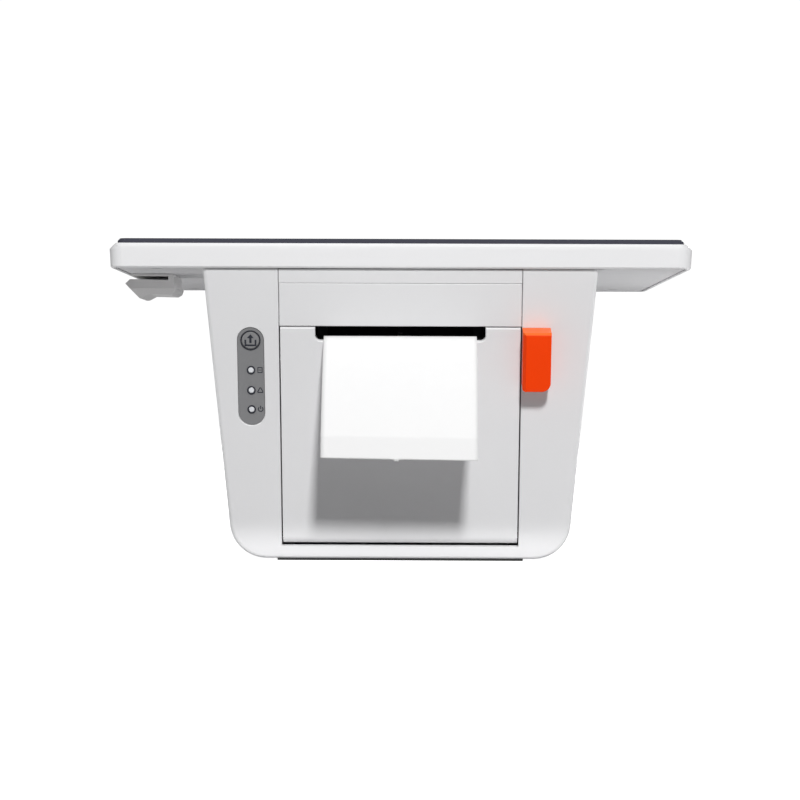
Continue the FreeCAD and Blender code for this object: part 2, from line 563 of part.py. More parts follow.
# ---------------------------------------------------------------- printer frame, head
side = [(3.4, 8), (3.4, -0.6), (62, -0.6), (70, 20), (70, 92), (46, 108), (30, 122), (16, 118), (12, 110), (3.4, 92)]
fr = []
for sx in (-1, 1):
    a, b = sorted((sx * SIDE_X0, sx * SIDE_X1))
    p = polyx(side, a, b)
    p = p.cut(cylx(1.56, a - 1, b + 1, HINGE_W + 0.0, HINGE_V))
    if sx > 0:
        p = p.cut(cylx(2.0, a - 1, b + 1, LEVER_PW, LEVER_PV))
    else:
        p = p.cut(cylx(1.8, a - 1, b + 1, MW, MV))
    fr.append(p)
# the hinge ears reach forward of the plates' front edge
for i, sx in enumerate((-1, 1)):
    a, b = sorted((sx * SIDE_X0, sx * SIDE_X1))
    ear = cut(cylx(3.0, a, b, HINGE_W + 0.0, HINGE_V), cylx(1.56, a - 1, b + 1, HINGE_W, HINGE_V),
              box(a - 1, b + 1, -5, WALL + 0.2, -5, 20))
    fr[i] = fuse(fr[i], ear)
fr.append(box(-SIDE_X0, SIDE_X0, 20, 40, -0.6, 1.2))
fr.append(box(-SIDE_X0, SIDE_X0, 60, 62, 90, 96))
fr.append(cylx(2.0, -SIDE_X0, GEAR_X1 + 0.6, IW, IV))
save("printer_frame", local(fuse(*fr)))

hb = polyh([(-18, 24.5), (4, 24.5), (4, 26), (-18, 26)], -SIDE_X0, SIDE_X0)
ears = [(-19.5, 7.5), (-12.5, 7.5), (-10.5, 24.6), (-18, 24.6)]
parts = [hb]
for sx in (-1, 1):
    a, b = sorted((sx * 44, sx * 45.6))
    parts.append(polyh(ears, a, b))
HPT, HPN = -16.0, 11.0
hpw, hpv = hn(HPT, HPN)
# the plate that guides the paper up to the head hangs from the bracket's ears
parts.append(box(-45.6, 45.6, 22.4, 23.8, 70, 87))
for sx in (-1, 1):
    a, b = sorted((sx * 44, sx * 45.6))
    parts.append(box(a, b, 22.4, 36, 82, 91))
hb = fuse(*parts).cut(cylx(1.5, -80, 80, hpw, hpv))
save("head_bracket", local(hb.removeSplitter()))
save("head_pivot_shaft", local(cylx(1.5, -46.4, 46.4, hpw, hpv)))
hd = polyh([(-9, 6.95), (4, 6.95), (4, 8.0), (2.6, 14), (-12, 14), (-18, 13.2), (-18, 8.8), (-13, 8.6), (-9, 8.0)], -42.5, 42.5)
hd = hd.cut(cylx(1.56, -80, 80, hpw, hpv))
save("print_head", local(hd.removeSplitter()))
hsp = []
k = math.sqrt(0.5)
for x in (-26, 26):
    w, v = hn(-3, 14.5)
    hsp.append(coil(2.4, 0.35, 1.9, 4.8, (x, w, v), (0, k, k)))
save("head_springs", local(group(*hsp)))
save("paper_sensor", local(fuse(box(-14, -6, 17.4, 21, 74, 82), box(-16, -4, 21, 22.4, 72, 84))))

# cutter: the moving blade slides towards the platen side in two guides
mb = polyh([(8.6, 8.4), (9.4, 7.7), (9.4, 20), (8.6, 20)], -41, 41)
mb = mb.cut(polyh([(8, 7), (10, 7), (10, 14.5), (8, 14.5)], -1.5, 1.5))
save("moving_blade", local(mb.removeSplitter()))
cg = []
for sx in (-1, 1):
    a, b = sorted((sx * 38.5, sx * 43.5))
    c, e = sorted((sx * 41.4, sx * 43.5))
    g = fuse(polyh([(7.0, 10), (8.3, 10), (8.3, 22), (7.0, 22)], a, b),
             polyh([(9.7, 10), (11, 10), (11, 22), (9.7, 22)], a, b),
             polyh([(7.0, 10), (11, 10), (11, 22), (7.0, 22)], c, e))
    cg.append(g)
cg.append(polyh([(4.2, 22.6), (11, 22.6), (11, 24.2), (4.2, 24.2)], -SIDE_X0, SIDE_X0))
for sx in (-1, 1):
    a, b = sorted((sx * 41.4, sx * 43.5))
    cg.append(polyh([(7.0, 21.5), (11, 21.5), (11, 23), (7.0, 23)], a, b))
cw_, cv_ = hn(6.0, 34.4)
cg.append(cut(polyh([(4.3, 23), (11, 23), (13, 40), (1, 40), (1, 30), (4.3, 27)], 40, 41.6), cylx(3, 30, 50, cw_, cv_)))
save("cutter_frame", local(fuse(*cg)))
cm = fuse(cylx(8.0, 8, 40, cw_, cv_), cylx(3, 40, 42, cw_, cv_), cylx(3, 6.5, 8, cw_, cv_))
save("cutter_motor", local(cm))

# feed motor on the outside of the left side plate
fm = fuse(cylx(17.5, -86, -67.6, MW, MV), box(-67.6, -66.5, MW - 17.5, MW + 17.5, MV - 8, MV + 8),
          cylx(5, -88, -86, MW, MV))
fm = fm.cut(cylx(1.8, -70, -60, MW, MV))
fm = cut(fm, cylx(1.8, -69, -66, MW, MV))
save("feed_motor", local(fm))

# ---------------------------------------------------------------- paper
bk = tubex(BUCKET_R + 2, BUCKET_R, -43.2, 43.2, BUCKET_W, BUCKET_V)
far = polyx([(BUCKET_W, BUCKET_V)] + [(BUCKET_W + 80 * math.cos(rad(a)), BUCKET_V + 80 * math.sin(rad(a)))
            for a in range(-122, 41, 9)], -50, 50)
bk = bk.common(far)
for sx in (-1, 1):
    a, b = sorted((sx * 41.2, sx * 43.2))
    s = cylx(BUCKET_R + 2, a, b, BUCKET_W, BUCKET_V).common(far.fuse(
        cylx(24, -50, 50, BUCKET_W, BUCKET_V)))
    s = s.cut(box(-80, 80, -60, 24, -60, 160))
    bk = bk.fuse(s)
legs = []
for sx in (-1, 1):
    a, b = sorted((sx * 43.2, sx * SIDE_X0))
    legs.append(box(a, b, 70, 74, 8.5, 20))
bk = bk.fuse(legs[0]).fuse(legs[1])
bk = bk.fuse(box(-43.2, 43.2, 62, 74, 8.5, 12).cut(cylx(BUCKET_R + 1, -50, 50, BUCKET_W, BUCKET_V)))
save("paper_bucket", local(bk.removeSplitter()))
save("paper_roll", local(tubex(ROLL_R, 8.0, -PAPER_HW, PAPER_HW, ROLL_W, ROLL_V)))
save("roll_core", local(tubex(8.0, 6.6, -PAPER_HW - 0.2, PAPER_HW + 0.2, ROLL_W, ROLL_V)))


def crossed(c1, r1, c2, r2):
    dx, dy = c2[0] - c1[0], c2[1] - c1[1]
    L = math.hypot(dx, dy)
    a = math.atan2(dy, dx) - math.asin((r1 + r2) / L)
    n = (-math.sin(a), math.cos(a))
    n = (-n[0], -n[1]) if n[0] < 0 else n
    return n


n = crossed((PLATEN_W, PLATEN_V), WEB_R, (ROLL_W, ROLL_V), ROLL_R + 0.225)
h = PAPER_T / 2


def web_side(o):
    r = WEB_R + o
    a0 = math.atan2(n[1], n[0])
    p0 = (ROLL_W - (ROLL_R + 0.225 - o) * n[0], ROLL_V - (ROLL_R + 0.225 - o) * n[1])
    p1 = (PLATEN_W + r * math.cos(a0), PLATEN_V + r * math.sin(a0))
    am = (a0 + math.pi / 4) / 2
    pm = (PLATEN_W + r * math.cos(am), PLATEN_V + r * math.sin(am))
    p2 = hn(0, r)
    p3 = hn(8.2, r)
    return p0, p1, pm, p2, p3


A, B = web_side(-h), web_side(h)
P = lambda q: V(-PAPER_HW, q[0], q[1])
e = [Part.LineSegment(P(A[0]), P(A[1])).toShape(), Part.Arc(P(A[1]), P(A[2]), P(A[3])).toShape(),
     Part.LineSegment(P(A[3]), P(A[4])).toShape(), Part.LineSegment(P(A[4]), P(B[4])).toShape(),
     Part.LineSegment(P(B[4]), P(B[3])).toShape(), Part.Arc(P(B[3]), P(B[2]), P(B[1])).toShape(),
     Part.LineSegment(P(B[1]), P(B[0])).toShape(), Part.LineSegment(P(B[0]), P(A[0])).toShape()]
save("paper_web", local(Part.Face(Part.Wire(e)).extrude(V(2 * PAPER_HW, 0, 0))))

# the receipt: from just past the cut line, over the notch and down in front
w0, v0 = hn(9.8, WEB_R)
start = (RECEIPT_D - (FACE_D + w0 * CS - v0 * SN), FACE_Z + v0 * CS + w0 * SN)
mid = ((start[0] + RECEIPT[0][0]) / 2, (start[1] + RECEIPT[0][1]) / 2)
pts = [start, mid] + RECEIPT
curve = Part.BSplineCurve()
curve.interpolate([V(0, D(RECEIPT_D - o), z) for o, z in pts])
N = 28
lo, hi = [], []
for i in range(N + 1):
    u = curve.FirstParameter + (curve.LastParameter - curve.FirstParameter) * i / N
    p, t = curve.value(u), curve.tangent(u)[0]
    m = V(0, t.z, -t.y)
    m.normalize()
    lo.append(p + m * (STRIP_T / 2))
    hi.append(p - m * (STRIP_T / 2))
ca, cb = Part.BSplineCurve(), Part.BSplineCurve()
ca.interpolate(lo)
cb.interpolate(hi)
e = [ca.toShape(), Part.LineSegment(lo[-1], hi[-1]).toShape(), cb.toShape(), Part.LineSegment(hi[0], lo[0]).toShape()]
f = Part.Face(Part.Wire(Part.__sortEdges__(e)))
f.translate(V(-PAPER_HW, 0, 0))
rec = f.extrude(V(2 * PAPER_HW, 0, 0))
tab = local(polyh([(8.4, WEB_R - 0.1), (9.9, WEB_R - 0.1), (9.9, WEB_R + 0.1), (8.4, WEB_R + 0.1)], -1.2, 1.2))
rec = fuse(rec, tab)
save("paper_strip", rec)
print("receipt length", round(curve.length(), 1))

# ---------------------------------------------------------------- release lever
blk = box(LEVER_X0, LEVER_X1, -LEVER_OUT - 0.4, -0.4, LEVER_V0, LEVER_V1)
fy = -LEVER_OUT - 0.4
blk = fillet_where(blk, 4.6, lambda e: all(abs(v.X - LEVER_X1) < 1e-6 and abs(v.Z - LEVER_V0) < 1e-6 for v in e.Vertexes))
blk = fillet_where(blk, 1.5, lambda e: all(abs(v.X - LEVER_X0) < 1e-6 and abs(v.Z - LEVER_V0) < 1e-6 for v in e.Vertexes))
blk = cut(blk, polyx([(fy - 1, LEVER_V1 - 2.2), (fy + 1.2, LEVER_V1), (fy + 1.2, LEVER_V1 + 2), (fy - 1, LEVER_V1 + 2)],
                      LEVER_X0 - 1, LEVER_X1 + 1))
bev = [V(LEVER_X0 - 1, fy + 2.7, 60), V(LEVER_X0 + 2.7, fy - 1, 60), V(LEVER_X0 - 1, fy - 1, 60), V(LEVER_X0 - 1, fy + 2.7, 60)]
blk = cut(blk, Part.Face(Part.makePolygon(bev)).extrude(V(0, 0, 80)))
blk = fillet_where(blk, 0.4, lambda e: all(abs(v.Y - fy) < 1e-6 for v in e.Vertexes))
armp = polyx([(-0.5, 93.4), (-0.5, 105.4), (3.5, 103.4), (9, 95.4), (10.9, 89.4), (9.5, 85.4), (5, 85.4), (4.4, 87.4), (4.4, 91),
              (2.7, 93)], 68, 74.6)
boss = fuse(cylx(3.7, 67, 76.2, LEVER_PW, LEVER_PV), cylx(2.9, 76, 79.6, LEVER_PW, LEVER_PV))
wedge = polyx([(6.5, 90.4), (10.5, 90.4), (9.0, 98.4), (7.0, 98.4)], 67.0, 69)
lev = fuse(blk, armp, boss, wedge).cut(cylx(2.05, 60, 90, LEVER_PW, LEVER_PV))
save("release_lever", local(lev.removeSplitter()))
save("lever_pivot_pin", local(cylx(2.0, 64.0, 84, LEVER_PW, LEVER_PV)))
lsp = coil(3.4, 0.3, 0.8, 3.5, (76.7, LEVER_PW, LEVER_PV), (1, 0, 0))
save("lever_spring", local(lsp))
# leaf springs whose bumps sit in the door's side flanges
ls = []
for sx in (-1, 1):
    c = [(64.5, 113), (64.5, 108.6), (62.0, 104.8), (62.0, 103.2), (64.2, 99.8), (64.2, 96), (63.7, 96), (63.7, 99.6),
         (61.4, 103.0), (61.4, 105.0), (63.9, 108.9), (63.9, 113)]
    w = Part.makePolygon([V(sx * a, 5.2, b) for a, b in c] + [V(sx * c[0][0], 5.2, c[0][1])])
    ls.append(Part.Face(w).extrude(V(0, 2.8, 0)))
save("latch_springs", local(group(*ls)))

# ---------------------------------------------------------------- fasteners of the base
bs = []
for x, d in PLATE_SCREWS:
    h = screw_head(1.9, 0.7, True)
    h.rotate(V(0, 0, 0), V(1, 0, 0), 180)
    h.translate(V(x, D(d), 1.2))
    bs.append(h)
save("base_screws", group(*(bs + hs)))

bb = Part.makeCompound(list(ALL.values())).BoundBox
print("nodes", len(ALL))
print("box %.2f %.2f  %.2f %.2f  %.2f %.2f" % (bb.XMin, bb.XMax, bb.YMin, bb.YMax, bb.ZMin, bb.ZMax))
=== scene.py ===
import math

import bmesh
import bpy
from mathutils import Matrix, Vector


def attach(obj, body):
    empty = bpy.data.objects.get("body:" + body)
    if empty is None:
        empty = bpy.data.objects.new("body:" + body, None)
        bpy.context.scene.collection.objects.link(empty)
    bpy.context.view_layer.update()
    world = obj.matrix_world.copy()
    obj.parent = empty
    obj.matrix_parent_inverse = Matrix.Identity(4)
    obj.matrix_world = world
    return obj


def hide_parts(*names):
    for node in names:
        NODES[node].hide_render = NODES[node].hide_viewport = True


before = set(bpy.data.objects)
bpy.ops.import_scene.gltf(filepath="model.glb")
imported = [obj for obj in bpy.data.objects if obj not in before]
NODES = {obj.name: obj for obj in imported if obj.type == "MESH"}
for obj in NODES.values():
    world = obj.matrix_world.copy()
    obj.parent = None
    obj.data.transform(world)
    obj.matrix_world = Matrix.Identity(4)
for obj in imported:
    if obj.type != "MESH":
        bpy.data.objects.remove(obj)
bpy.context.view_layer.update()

MM = 0.001

# ------------------------------------------------------------------ the printer's frame
# x across, w inward from the printer's face, v up the face; millimetres in, metres out
LEAN = math.radians(16.5)
SN, CS = math.sin(LEAN), math.cos(LEAN)
YF = -107.25
FACE_D = 3.0 + (154.3 - 8.2) * math.tan(LEAN)
FACE_Z = 8.2
PAD_X = -78.3


def loc(x, w, v):
    return Vector((x, YF + FACE_D + w * CS - v * SN, FACE_Z + v * CS + w * SN)) * MM


# ------------------------------------------------------------------ camera
def make_camera():
    cam = bpy.data.cameras.new("camera")
    cam.lens, cam.sensor_width = 99.09, 36.0
    obj = bpy.data.objects.new("camera", cam)
    bpy.context.scene.collection.objects.link(obj)
    yaw, roll = 0.0088, 0.0038
    right = Vector((math.cos(yaw), math.sin(yaw), 0))
    ahead = Vector((-math.sin(yaw), math.cos(yaw), 0))
    up = Vector((0, 0, 1))
    r = right * math.cos(roll) + up * math.sin(roll)
    u = up * math.cos(roll) - right * math.sin(roll)
    m = Matrix((r, u, -ahead)).transposed().to_4x4()
    m.translation = Vector((0.01006, -1.24225, 0.08636))
    obj.matrix_world = m
    bpy.context.scene.camera = obj


make_camera()


# ------------------------------------------------------------------ materials
class Mat:
    """A node material with a principled shader, and short ways to add to it."""

    def __init__(self, name):
        self.m = bpy.data.materials.new(name)
        self.m.use_nodes = True
        self.t = self.m.node_tree
        self.t.nodes.clear()
        out = self.t.nodes.new("ShaderNodeOutputMaterial")
        self.b = self.t.nodes.new("ShaderNodeBsdfPrincipled")
        self.t.links.new(self.b.outputs[0], out.inputs[0])
        self.tc = self.t.nodes.new("ShaderNodeTexCoord")

    def node(self, kind, **kw):
        n = self.t.nodes.new(kind)
        for k, v in kw.items():
            setattr(n, k, v)
        return n

    def link(self, a, b):
        self.t.links.new(a, b)

    def coords(self, scale=(1, 1, 1)):
        if scale == (1, 1, 1):
            return self.tc.outputs["Object"]
        mp = self.node("ShaderNodeMapping")
        mp.inputs["Scale"].default_value = scale
        self.link(self.tc.outputs["Object"], mp.inputs["Vector"])
        return mp.outputs["Vector"]

    def noise(self, scale, detail=2.0, rough=0.5, stretch=(1, 1, 1)):
        n = self.node("ShaderNodeTexNoise")
        n.inputs["Scale"].default_value = scale
        n.inputs["Detail"].default_value = detail
        n.inputs["Roughness"].default_value = rough
        self.link(self.coords(stretch), n.inputs["Vector"])
        return n.outputs["Fac"]

    def ranged(self, value, lo, hi, a=0.3, b=0.7):
        n = self.node("ShaderNodeMapRange")
        n.inputs["From Min"].default_value, n.inputs["From Max"].default_value = a, b
        n.inputs["To Min"].default_value, n.inputs["To Max"].default_value = lo, hi
        self.link(value, n.inputs["Value"])
        return n.outputs["Result"]

    def mix(self, fac, a, b):
        n = self.node("ShaderNodeMix", data_type="RGBA")
        self.link(fac, n.inputs[0])
        for sock, c in ((n.inputs[6], a), (n.inputs[7], b)):
            if isinstance(c, (tuple, list)):
                sock.default_value = (*c[:3], 1.0)
            else:
                self.link(c, sock)
        return n.outputs[2]

    def math(self, op, a, b=None):
        n = self.node("ShaderNodeMath", operation=op)
        for sock, v in zip(n.inputs, (a, b)):
            if v is None:
                continue
            if isinstance(v, (int, float)):
                sock.default_value = v
            else:
                self.link(v, sock)
        return n.outputs[0]

    def bump(self, height, strength, dist):
        n = self.node("ShaderNodeBump")
        n.inputs["Strength"].default_value = strength
        n.inputs["Distance"].default_value = dist
        self.link(height, n.inputs["Height"])
        self.link(n.outputs[0], self.b.inputs["Normal"])

    def color(self, out):
        self.link(out, self.b.inputs["Base Color"])

    def rough(self, out):
        self.link(out, self.b.inputs["Roughness"])


def scaled(c, k):
    return tuple(min(1.0, x * k) for x in c)


def plastic(name, col, rough, var=0.02, grain=1500.0, bump=0.10, dist=4e-5, spec=0.5, coat=0.0, low=11.0):
    m = Mat(name)
    blot = m.ranged(m.noise(low, 4.0), 0.0, 1.0)
    fleck = m.ranged(m.noise(grain * 0.5, 2.0), 0.0, 1.0)
    c = m.mix(blot, scaled(col, 1 - var), scaled(col, 1 + var * 0.6))
    m.color(m.mix(m.math("MULTIPLY", fleck, 0.35), c, scaled(col, 1 - var * 1.6)))
    m.rough(m.ranged(m.noise(65.0, 3.0), rough - 0.05, rough + 0.05))
    m.bump(m.noise(grain, 3.0, 0.6), bump, dist)
    m.b.inputs["Specular IOR Level"].default_value = spec
    if coat:
        m.b.inputs["Coat Weight"].default_value = coat
        m.b.inputs["Coat Roughness"].default_value = 0.12
    return m.m


def metal(name, col, rough, stretch=(6, 600, 600), bump=0.12, grain=1.0):
    m = Mat(name)
    lines = m.noise(grain, 4.0, 0.6, stretch)
    stain = m.ranged(m.noise(25.0, 3.0), 0.0, 1.0)
    c = m.mix(m.ranged(lines, 0.0, 1.0), scaled(col, 0.86), scaled(col, 1.06))
    m.color(m.mix(m.math("MULTIPLY", stain, 0.22), c, scaled(col, 0.72)))
    m.rough(m.ranged(lines, rough - 0.07, rough + 0.10))
    m.bump(lines, bump, 3e-5)
    m.b.inputs["Metallic"].default_value = 1.0
    return m.m


WHITE = plastic("white_shell_plastic", (0.80, 0.80, 0.808), 0.42, var=0.012, bump=0.07)
BEZEL = plastic("bezel_plastic", (0.81, 0.81, 0.818), 0.40, var=0.012, bump=0.07)
GREY = plastic("grey_shell_plastic", (0.78, 0.78, 0.788), 0.48, var=0.02, bump=0.10)
READER = plastic("reader_plastic", (0.86, 0.85, 0.846), 0.45, var=0.03, bump=0.10)
ORANGE = plastic("lever_orange_plastic", (1.0, 0.056, 0.0), 0.40, var=0.02, bump=0.06, low=40, spec=0.14)
PADGREY = plastic("pad_film", (0.235, 0.236, 0.242), 0.46, var=0.04, bump=0.08, grain=2400)
BUTTON = plastic("button_plastic", (0.245, 0.246, 0.252), 0.40, var=0.03, bump=0.06, grain=2400)
RING = plastic("ring_trim", (0.020, 0.022, 0.034), 0.35, var=0.05, bump=0.05)
BLACK = plastic("inner_black_plastic", (0.016, 0.016, 0.018), 0.55, var=0.10, bump=0.18)
ACETAL = plastic("gear_acetal", (0.74, 0.72, 0.64), 0.38, var=0.03, bump=0.05)
RUBBER = plastic("rubber", (0.022, 0.022, 0.023), 0.80, var=0.15, bump=0.35, grain=900)
STEEL = metal("plated_steel", (0.56, 0.56, 0.57), 0.34)
SCREW = metal("screw_steel", (0.50, 0.50, 0.52), 0.30, (300, 300, 40))
SPRING = metal("spring_steel", (0.42, 0.42, 0.44), 0.30, (200, 200, 200))
BLADE = metal("blackened_steel", (0.035, 0.035, 0.038), 0.42, (1200, 40, 40))
MOTOR = metal("motor_can", (0.46, 0.46, 0.48), 0.36, (200, 60, 60))
ALU = metal("head_aluminium", (0.66, 0.66, 0.67), 0.38, (20, 500, 500))
BRASS = metal("bush_brass", (0.70, 0.50, 0.22), 0.30, (500, 60, 60))


def paint_lever_top_highlight():
    """Painted highlight: the lever's upper face, above z 0.12 m, is given a paler orange than its front, standing
    in for the light that falls on it from above.
    """
    t = ORANGE.node_tree
    base = next(n for n in t.nodes if n.type == "BSDF_PRINCIPLED").inputs["Base Color"]
    was = base.links[0].from_socket
    tc = next(n for n in t.nodes if n.type == "TEX_COORD")
    s = t.nodes.new("ShaderNodeSeparateXYZ")
    t.links.new(tc.outputs["Object"], s.inputs[0])
    r = t.nodes.new("ShaderNodeMapRange")
    r.inputs["From Min"].default_value, r.inputs["From Max"].default_value = 0.1196, 0.1204
    t.links.new(s.outputs["Z"], r.inputs["Value"])
    mix = t.nodes.new("ShaderNodeMix")
    mix.data_type = "RGBA"
    # the painted highlight: a paler orange for the lever's upper face
    mix.inputs[7].default_value = (1.0, 0.155, 0.02, 1)
    t.links.new(r.outputs["Result"], mix.inputs[0])
    t.links.new(was, mix.inputs[6])
    t.links.new(mix.outputs[2], base)


paint_lever_top_highlight()


def lens_material():
    m = Mat("milky_lens")
    n = m.ranged(m.noise(420.0, 3.0), 0.0, 1.0)
    m.color(m.mix(n, (0.74, 0.76, 0.79), (0.84, 0.855, 0.88)))
    m.rough(m.ranged(m.noise(300.0, 2.0), 0.16, 0.26))
    m.bump(m.noise(900.0, 2.0), 0.05, 2e-5)
    m.b.inputs["Coat Weight"].default_value = 0.5
    m.b.inputs["Coat Roughness"].default_value = 0.08
    return m.m


def paper_material(name, base, core=None):
    """Coated roll paper: faint fibres and blotches; on a roll's ends, the edges of the wound turns."""
    m = Mat(name)
    cloud = m.ranged(m.noise(120.0, 5.0, 0.65), 0.0, 1.0)
    c = m.mix(cloud, scaled(base, 0.985), base)
    fibre = m.noise(1.0, 3.0, 0.6, (900, 2600, 900))
    height = fibre
    if core:
        s = m.node("ShaderNodeSeparateXYZ")
        m.link(m.tc.outputs["Object"], s.inputs[0])
        y = m.math("SUBTRACT", s.outputs["Y"], core.y)
        z = m.math("SUBTRACT", s.outputs["Z"], core.z)
        r = m.math("SQRT", m.math("ADD", m.math("MULTIPLY", y, y), m.math("MULTIPLY", z, z)))
        turns = m.node("ShaderNodeTexNoise", noise_dimensions="1D")
        turns.inputs["Scale"].default_value = 2600.0
        turns.inputs["Detail"].default_value = 3.0
        m.link(r, turns.inputs["W"])
        side = m.math("GREATER_THAN", m.math("ABSOLUTE", s.outputs["X"]), 0.0396)
        line = m.math("MULTIPLY", m.ranged(turns.outputs["Fac"], 1.0, 0.0), side)
        c = m.mix(m.math("MULTIPLY", line, 0.55), c, scaled(base, 0.66))
    m.color(c)
    m.rough(m.ranged(cloud, 0.62, 0.74))
    m.bump(height, 0.05, 2e-5)
    m.b.inputs["Specular IOR Level"].default_value = 0.35
    return m.m


PAPER = paper_material("thermal_paper", (0.86, 0.86, 0.86))
ROLL = paper_material("wound_paper", (0.90, 0.90, 0.89), loc(0, 43.1, 36.2))


def card_material():
    m = Mat("wound_card")
    f = m.ranged(m.noise(1.0, 4.0, 0.6, (500, 1500, 1500)), 0.0, 1.0)
    m.color(m.mix(f, (0.30, 0.20, 0.12), (0.42, 0.30, 0.19)))
    m.rough(m.ranged(f, 0.75, 0.9))
    m.bump(f, 0.25, 5e-5)
    return m.m


def board_material():
    """Solder mask over a grid of tracks, with paler pads."""
    m = Mat("circuit_board")
    v = m.node("ShaderNodeTexVoronoi", distance="MANHATTAN")
    v.inputs["Scale"].default_value = 260.0
    m.link(m.coords(), v.inputs["Vector"])
    pad = m.math("LESS_THAN", v.outputs["Distance"], 0.16)
    track = m.math("GREATER_THAN", m.noise(1.0, 1.0, 0.4, (120, 900, 320)), 0.56)
    c = m.mix(m.math("MULTIPLY", track, 0.7), (0.012, 0.075, 0.035), (0.03, 0.16, 0.07))
    m.color(m.mix(m.math("MULTIPLY", pad, 0.8), c, (0.55, 0.50, 0.34)))
    m.rough(m.ranged(m.noise(200.0), 0.25, 0.4))
    m.bump(m.math("ADD", track, pad), 0.2, 4e-5)
    return m.m


def glass_material():
    """Black-backed touch glass; the display's area is a touch greyer than its border, and the glass's sides and
    edge chamfer carry a painted bluish-grey reflection.
    """
    m = Mat("touch_glass_black")
    s = m.node("ShaderNodeSeparateXYZ")
    m.link(m.tc.outputs["Object"], s.inputs[0])
    yc = (YF + 120.0) * MM
    inx = m.math("LESS_THAN", m.math("ABSOLUTE", s.outputs["X"]), 0.1230)
    iny = m.math("LESS_THAN", m.math("ABSOLUTE", m.math("SUBTRACT", s.outputs["Y"], yc)), 0.09225)
    area = m.math("MULTIPLY", inx, iny)
    face = m.mix(area, (0.006, 0.0075, 0.013), (0.0125, 0.0135, 0.0165))
    # painted reflection: below the top face the glass's colour turns a bluish grey
    painted_reflection_band = m.math("LESS_THAN", s.outputs["Z"], 0.16955)
    m.color(m.mix(painted_reflection_band, face, (0.060, 0.061, 0.080)))
    smear = m.noise(14.0, 6.0, 0.7)
    m.rough(m.ranged(smear, 0.05, 0.072, 0.35, 0.75))
    return m.m


def socket_material():
    return metal("socket_plating", (0.62, 0.62, 0.64), 0.28, (500, 30, 500))


CARD, BOARD, GLASS, LENS, SOCKET = card_material(), board_material(), glass_material(), lens_material(), socket_material()
DISPLAY = plastic("display_black", (0.010, 0.010, 0.012), 0.30, var=0.1, bump=0.05)

FINISH = {
    WHITE: ["base_housing", "top_strip", "front_panel", "door_cover"],
    BEZEL: ["screen_bezel"],
    GREY: ["screen_back_cover", "base_back_cover", "base_top_cover"],
    READER: ["card_reader_body"],
    GLASS: ["touch_glass"],
    DISPLAY: ["lcd_module"],
    STEEL: ["base_plate", "printer_frame", "head_bracket", "hinge_brackets", "hinge_leaves", "lever_pivot_pin",
            "platen_shaft", "head_pivot_shaft", "hinge_pins", "card_reader_head"],
    SCREW: ["screen_screws", "base_screws"],
    SPRING: ["button_spring", "head_springs", "lever_spring", "latch_springs"],
    BLADE: ["fixed_blade", "moving_blade", "door_hinge_pins"],
    RUBBER: ["rubber_feet", "screen_bumpers", "platen_roller"],
    MOTOR: ["feed_motor", "cutter_motor"],
    ALU: ["print_head"],
    BRASS: ["platen_bushes"],
    ACETAL: ["platen_gear", "idler_gear", "motor_pinion"],
    BLACK: ["door_inner", "paper_bucket", "cutter_frame", "paper_sensor", "switch_bezel", "power_switch",
            "jack_sockets", "power_inlet"],
    SOCKET: ["usb_sockets"],
    BOARD: ["main_board", "control_board"],
    ORANGE: ["release_lever"],
    PADGREY: ["control_bezel"],
    BUTTON: ["feed_button"],
    RING: ["lens_rings"],
    LENS: ["status_lenses"],
    PAPER: ["paper_strip", "paper_web"],
    ROLL: ["paper_roll"],
    CARD: ["roll_core"],
}
for material, names in FINISH.items():
    for name in names:
        slots = NODES[name].material_slots
        if len(slots):
            for s in slots:
                s.material = material
        else:
            NODES[name].data.materials.append(material)


# ------------------------------------------------------------------ pieces
def new_object(name, bm, material, body, smooth=True):
    bmesh.ops.recalc_face_normals(bm, faces=bm.faces)
    me = bpy.data.meshes.new(name)
    bm.to_mesh(me)
    bm.free()
    for p in me.polygons:
        p.use_smooth = smooth
    me.materials.append(material)
    obj = bpy.data.objects.new(name, me)
    bpy.context.scene.collection.objects.link(obj)
    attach(obj, body)
    return obj


def natural_spline(pts):
    """Natural cubic through the points over their chord length: a function of that length, and the whole length."""
    n = len(pts)
    t = [0.0]
    for a, b in zip(pts, pts[1:]):
        t.append(t[-1] + math.dist(a, b))
    dims = []
    for k in range(len(pts[0])):
        y = [p[k] for p in pts]
        h = [t[i + 1] - t[i] for i in range(n - 1)]
        lo, di, up, rh = [0.0] * n, [1.0] * n, [0.0] * n, [0.0] * n
        for i in range(1, n - 1):
            lo[i], di[i], up[i] = h[i - 1], 2 * (h[i - 1] + h[i]), h[i]
            rh[i] = 6 * ((y[i + 1] - y[i]) / h[i] - (y[i] - y[i - 1]) / h[i - 1])
        for i in range(1, n):
            f = lo[i] / di[i - 1]
            di[i] -= f * up[i - 1]
            rh[i] -= f * rh[i - 1]
        m = [0.0] * n
        m[-1] = rh[-1] / di[-1]
        for i in range(n - 2, -1, -1):
            m[i] = (rh[i] - up[i] * m[i + 1]) / di[i]
        dims.append((y, m, h))

    def at(s):
        i = 0
        while i < n - 2 and s > t[i + 1]:
            i += 1
        out = []
        for y, m, h in dims:
            a, b, q = t[i + 1] - s, s - t[i], h[i]
            out.append((m[i] * a ** 3 + m[i + 1] * b ** 3) / (6 * q) + (y[i] / q - m[i] * q / 6) * a
                       + (y[i + 1] / q - m[i + 1] * q / 6) * b)
        return out

    return at, t[-1]


# the receipt's line beside its middle: (towards the viewer, height), from the cut line over the
# notch and down in front, with a fold near the loose end
RECEIPT = [(-10.38, 115.18), (-8.14, 116.37), (-5.9, 117.55), (-0.6, 119.6), (4.0, 118.9), (8.8, 114.9),
           (18.6, 102.2), (28.0, 86.5), (34.3, 73.4), (36.75, 67.6)]
FOLD_END = (38.22, 56.35)
RECEIPT_D = 13.0
PAPER_HW = 39.75


